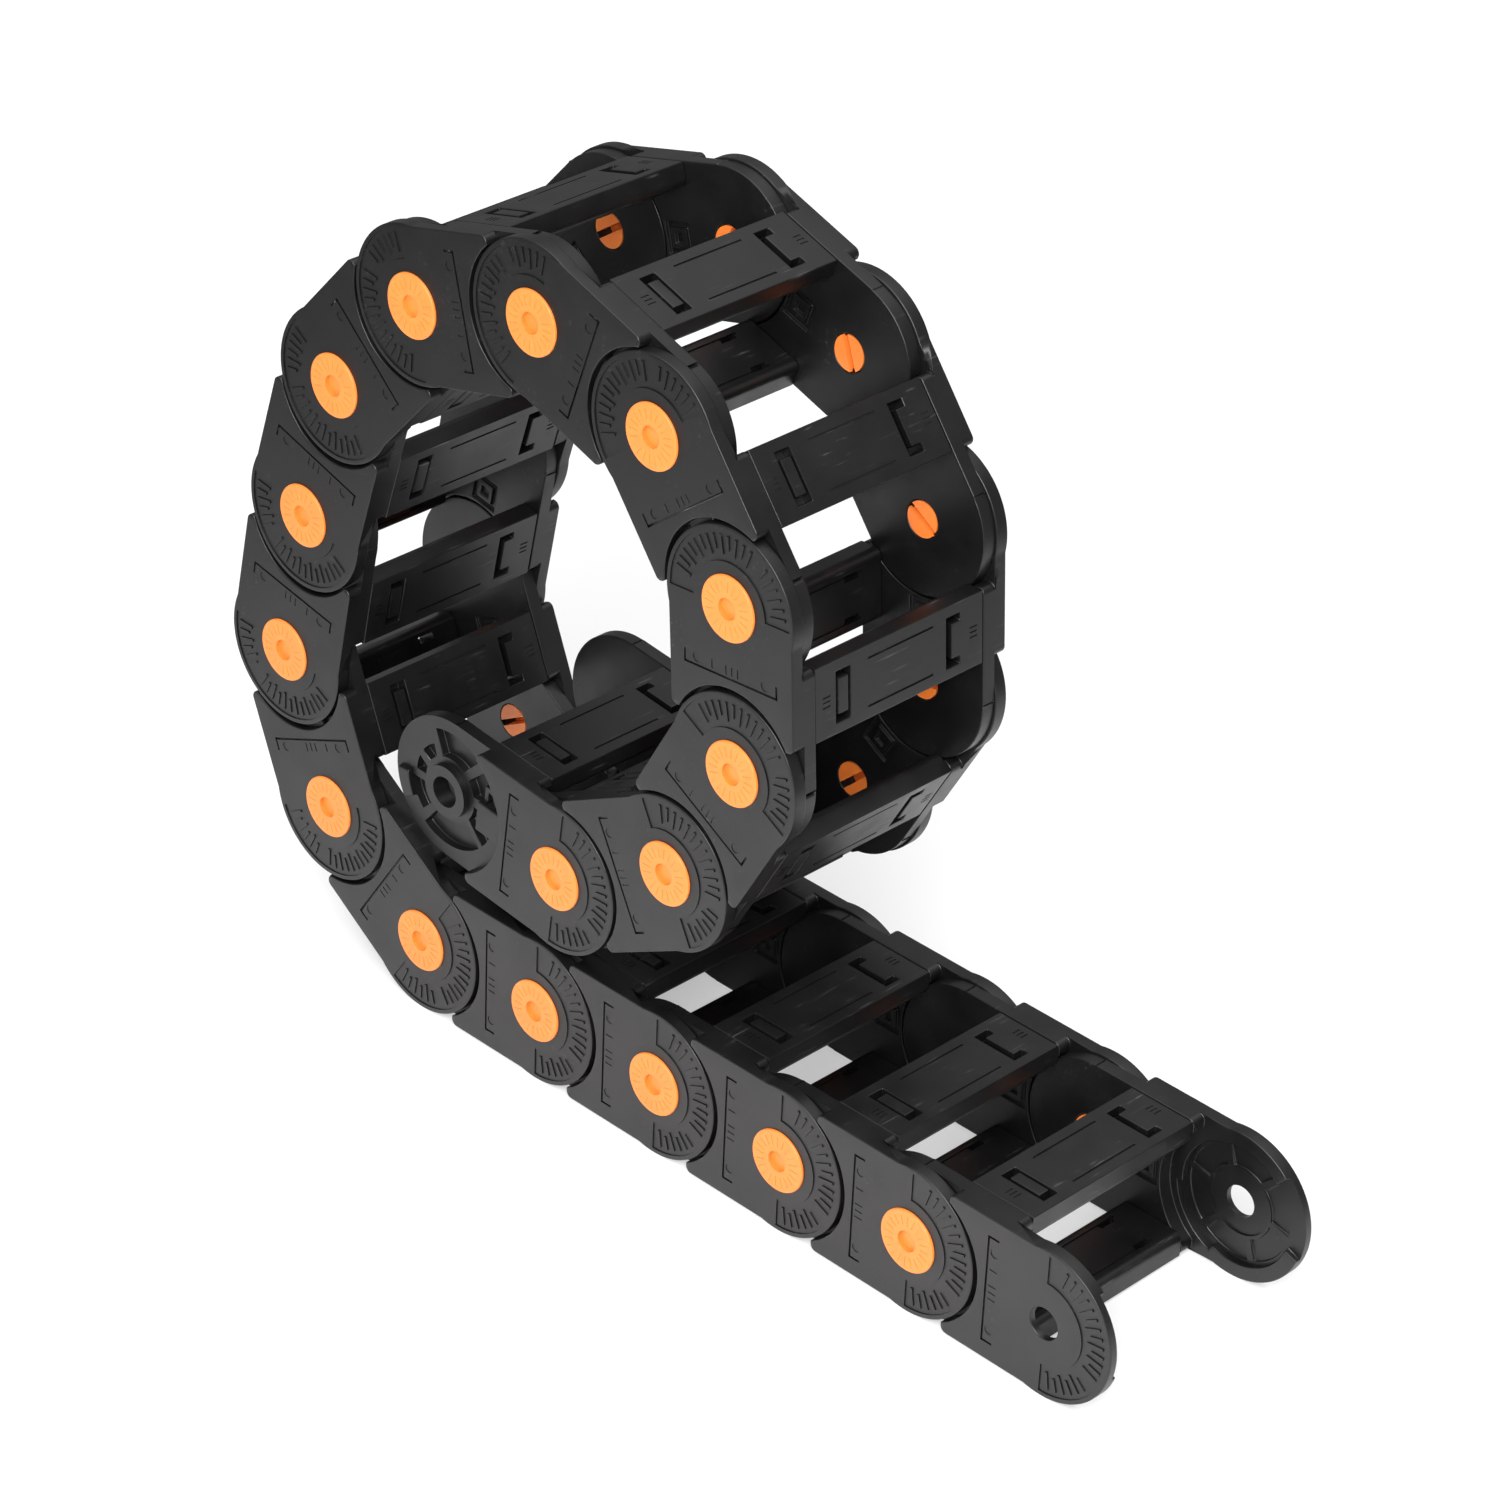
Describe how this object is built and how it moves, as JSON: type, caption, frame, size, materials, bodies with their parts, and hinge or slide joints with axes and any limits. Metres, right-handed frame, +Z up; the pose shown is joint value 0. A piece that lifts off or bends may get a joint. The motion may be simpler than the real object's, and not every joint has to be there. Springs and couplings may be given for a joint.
{
  "type": "cable drag chain",
  "caption": "Plastic cable drag chain of open ladder links hinged on snap pins, lying flat at one end and curled into a roll at the other.",
  "frame": {"origin": "centre of the bounding box in plan, at the height of the lowest lugs, with the chain standing as in its rest pose", "axes": "+X toward the fixed free end along the flat run, +Y across the chain, +Z up"},
  "size_m": [0.4056, 0.0968, 0.3039],
  "materials": {
    "plates": "satin black moulded nylon",
    "bars": "satin black moulded nylon, lightly scuffed",
    "pins": "orange acetal, smooth"
  },
  "bodies": {
    "link_01": {"link_01_plates": "plates", "link_01_bars": "bars"},
    "link_02": {"link_02_plates": "plates", "link_02_bars": "bars", "joint_01_pins": "pins"},
    "link_03": {"link_03_plates": "plates", "link_03_bars": "bars", "joint_02_pins": "pins"},
    "link_04": {"link_04_plates": "plates", "link_04_bars": "bars", "joint_03_pins": "pins"},
    "link_05": {"link_05_plates": "plates", "link_05_bars": "bars", "joint_04_pins": "pins"},
    "link_06": {"link_06_plates": "plates", "link_06_bars": "bars", "joint_05_pins": "pins"},
    "link_07": {"link_07_plates": "plates", "link_07_bars": "bars", "joint_06_pins": "pins"},
    "link_08": {"link_08_plates": "plates", "link_08_bars": "bars", "joint_07_pins": "pins"},
    "link_09": {"link_09_plates": "plates", "link_09_bars": "bars", "joint_08_pins": "pins"},
    "link_10": {"link_10_plates": "plates", "link_10_bars": "bars", "joint_09_pins": "pins"},
    "link_11": {"link_11_plates": "plates", "link_11_bars": "bars", "joint_10_pins": "pins"},
    "link_12": {"link_12_plates": "plates", "link_12_bars": "bars", "joint_11_pins": "pins"},
    "link_13": {"link_13_plates": "plates", "link_13_bars": "bars", "joint_12_pins": "pins"},
    "link_14": {"link_14_plates": "plates", "link_14_bars": "bars", "joint_13_pins": "pins"},
    "link_15": {"link_15_plates": "plates", "link_15_bars": "bars", "joint_14_pins": "pins"},
    "link_16": {"link_16_plates": "plates", "link_16_bars": "bars", "joint_15_pins": "pins"},
    "link_17": {"link_17_plates": "plates", "link_17_bars": "bars", "joint_16_pins": "pins"}
  },
  "joints": [
    {"name": "hinge_01", "type": "hinge", "parent": "link_01", "child": "link_02", "pos_m": [0.11935, 0, 0.027], "axis": [0, 1, 0], "range_deg": [0, 33.5]},
    {"name": "hinge_02", "type": "hinge", "parent": "link_02", "child": "link_03", "pos_m": [0.06284, 0, 0.027], "axis": [0, 1, 0], "range_deg": [0, 33.5]},
    {"name": "hinge_03", "type": "hinge", "parent": "link_03", "child": "link_04", "pos_m": [0.00634, 0, 0.027], "axis": [0, 1, 0], "range_deg": [0, 14]},
    {"name": "hinge_04", "type": "hinge", "parent": "link_04", "child": "link_05", "pos_m": [-0.05015, 0, 0.027], "axis": [0, 1, 0], "range_deg": [0, 6]},
    {"name": "hinge_05", "type": "hinge", "parent": "link_05", "child": "link_06", "pos_m": [-0.10665, 0, 0.027], "axis": [0, 1, 0], "range_deg": [-33.5, 0]},
    {"name": "hinge_06", "type": "hinge", "parent": "link_06", "child": "link_07", "pos_m": [-0.15377, 0, 0.05818], "axis": [0, 1, 0], "range_deg": [-33.5, 0]},
    {"name": "hinge_07", "type": "hinge", "parent": "link_07", "child": "link_08", "pos_m": [-0.17585, 0, 0.11019], "axis": [0, 1, 0], "range_deg": [-33.5, 0]},
    {"name": "hinge_08", "type": "hinge", "parent": "link_08", "child": "link_09", "pos_m": [-0.16555, 0, 0.16575], "axis": [0, 1, 0], "range_deg": [-6, 0]},
    {"name": "hinge_09", "type": "hinge", "parent": "link_09", "child": "link_10", "pos_m": [-0.1495, 0, 0.21992], "axis": [0, 1, 0], "range_deg": [-25, 0]},
    {"name": "hinge_10", "type": "hinge", "parent": "link_10", "child": "link_11", "pos_m": [-0.11206, 0, 0.26224], "axis": [0, 1, 0], "range_deg": [-33.5, 0]},
    {"name": "hinge_11", "type": "hinge", "parent": "link_11", "child": "link_12", "pos_m": [-0.05749, 0, 0.27686], "axis": [0, 1, 0], "range_deg": [-33.5, 0]},
    {"name": "hinge_12", "type": "hinge", "parent": "link_12", "child": "link_13", "pos_m": [-0.00391, 0, 0.25893], "axis": [0, 1, 0], "range_deg": [-33.5, 0]},
    {"name": "hinge_13", "type": "hinge", "parent": "link_13", "child": "link_14", "pos_m": [0.03088, 0, 0.21441], "axis": [0, 1, 0], "range_deg": [-33.5, 0]},
    {"name": "hinge_14", "type": "hinge", "parent": "link_14", "child": "link_15", "pos_m": [0.03531, 0, 0.15808], "axis": [0, 1, 0], "range_deg": [-33.5, 0]},
    {"name": "hinge_15", "type": "hinge", "parent": "link_15", "child": "link_16", "pos_m": [0.00792, 0, 0.10867], "axis": [0, 1, 0], "range_deg": [-33.5, 0]},
    {"name": "hinge_16", "type": "hinge", "parent": "link_16", "child": "link_17", "pos_m": [-0.0422, 0, 0.08258], "axis": [0, 1, 0], "range_deg": [-33.5, 0]}
  ],
  "couplings": [
    {"joint": "hinge_06", "follows": "hinge_05", "ratio": 1},
    {"joint": "hinge_07", "follows": "hinge_05", "ratio": 1},
    {"joint": "hinge_08", "follows": "hinge_05", "ratio": 0.1791},
    {"joint": "hinge_09", "follows": "hinge_05", "ratio": 0.74627},
    {"joint": "hinge_10", "follows": "hinge_05", "ratio": 1},
    {"joint": "hinge_11", "follows": "hinge_05", "ratio": 1},
    {"joint": "hinge_12", "follows": "hinge_05", "ratio": 1},
    {"joint": "hinge_13", "follows": "hinge_05", "ratio": 1},
    {"joint": "hinge_14", "follows": "hinge_05", "ratio": 1},
    {"joint": "hinge_15", "follows": "hinge_05", "ratio": 1},
    {"joint": "hinge_16", "follows": "hinge_05", "ratio": 1}
  ]
}
